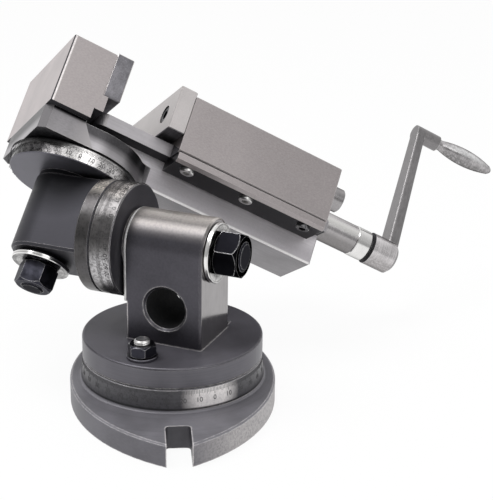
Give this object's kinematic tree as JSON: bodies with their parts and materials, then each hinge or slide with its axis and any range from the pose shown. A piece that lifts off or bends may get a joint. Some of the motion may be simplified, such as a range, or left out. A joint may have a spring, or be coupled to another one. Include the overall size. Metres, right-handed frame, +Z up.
{
  "type": "precision milling vise",
  "caption": "Screw vise with ground steel jaws on a dark head that swivels and tilts on a graduated turntable, above a round base with open lug slots.",
  "frame": {"origin": "centre of the base's flat underside, on the axis of the turntable", "axes": "+Z up through the turntable; +Y along the two lug slots, with the front slot toward -Y; +X to the right, the side of the crank at rest"},
  "size_m": [0.3869, 0.307, 0.2386],
  "materials": {
    "base_metal": "satin ground",
    "bracket_metal": "dark satin, bright ground flange",
    "head_metal": "dark satin, bright graduated bands",
    "ground_metal": "surface ground",
    "bed_metal": "surface ground",
    "plate_metal": "hardened and ground",
    "black_oxide": "black oxide",
    "washer_metal": "bright turned",
    "screw_metal": "bright",
    "sleeve_metal": "satin grey",
    "polished_metal": "polished",
    "crank_metal": "satin plated",
    "bronze": "plain turned"
  },
  "bodies": {
    "base": {"base_casting": "base_metal", "centre_pin": "screw_metal"},
    "turntable": {"swivel_bracket": "bracket_metal", "clamp_bolts": "screw_metal", "clamp_washers": "washer_metal", "clamp_nuts": "black_oxide"},
    "head": {"angle_head": "head_metal", "tilt_stud": "screw_metal", "tilt_washer": "washer_metal", "tilt_nut": "black_oxide"},
    "vise": {"vise_body": "bed_metal", "swivel_stud": "screw_metal", "seat_ring": "screw_metal", "swivel_washer": "washer_metal", "swivel_nut": "black_oxide", "fixed_jaw": "ground_metal", "jaw_screws": "black_oxide", "fixed_plate": "plate_metal", "fixed_plate_screws": "black_oxide", "lead_nut": "bronze", "lead_nut_screws": "black_oxide"},
    "movable_jaw": {"movable_jaw": "ground_metal", "movable_plate": "plate_metal", "movable_plate_screws": "black_oxide", "rear_screws": "screw_metal", "near_keeper": "black_oxide", "far_keeper": "black_oxide", "near_keeper_screws": "screw_metal", "far_keeper_screws": "screw_metal", "gib_strip": "ground_metal", "gib_screws": "black_oxide"},
    "crank": {"lead_screw": "polished_metal", "sleeve": "sleeve_metal", "thrust_ring": "screw_metal", "ring_pin": "screw_metal", "crank_arm": "crank_metal", "set_screw": "black_oxide", "handle_spindle": "screw_metal"},
    "grip": {"handle_grip": "crank_metal"}
  },
  "joints": [
    {"name": "base_swivel", "type": "hinge", "parent": "base", "child": "turntable", "pos_m": [0, 0, 0], "axis": [0, 0, 1], "continuous": true},
    {"name": "head_tilt", "type": "hinge", "parent": "turntable", "child": "head", "pos_m": [0, 0, 0.1096], "axis": [-0.887, 0.4617, 0], "range_deg": [-134.3, 15.7]},
    {"name": "vise_swivel", "type": "hinge", "parent": "head", "child": "vise", "pos_m": [-0.0801, 0.0417, 0.1096], "axis": [0.3225, 0.6195, 0.7157], "continuous": true},
    {"name": "jaw_slide", "type": "slide", "parent": "vise", "child": "movable_jaw", "axis": [0.8747, 0.0939, -0.4754], "range_m": [-0.0376, 0.039]},
    {"name": "crank_turn", "type": "hinge", "parent": "movable_jaw", "child": "crank", "pos_m": [-0.05123, 0.09714, 0.17365], "axis": [0.8747, 0.0939, -0.4754], "range_deg": [-3400, 3520]},
    {"name": "grip_spin", "type": "hinge", "parent": "crank", "child": "grip", "pos_m": [0.24666, 0.19345, 0.10975], "axis": [0.8747, 0.0939, -0.4754], "continuous": true}
  ],
  "couplings": [
    {"joint": "crank_turn", "follows": "jaw_slide", "rad_per_m": 1570.8}
  ]
}
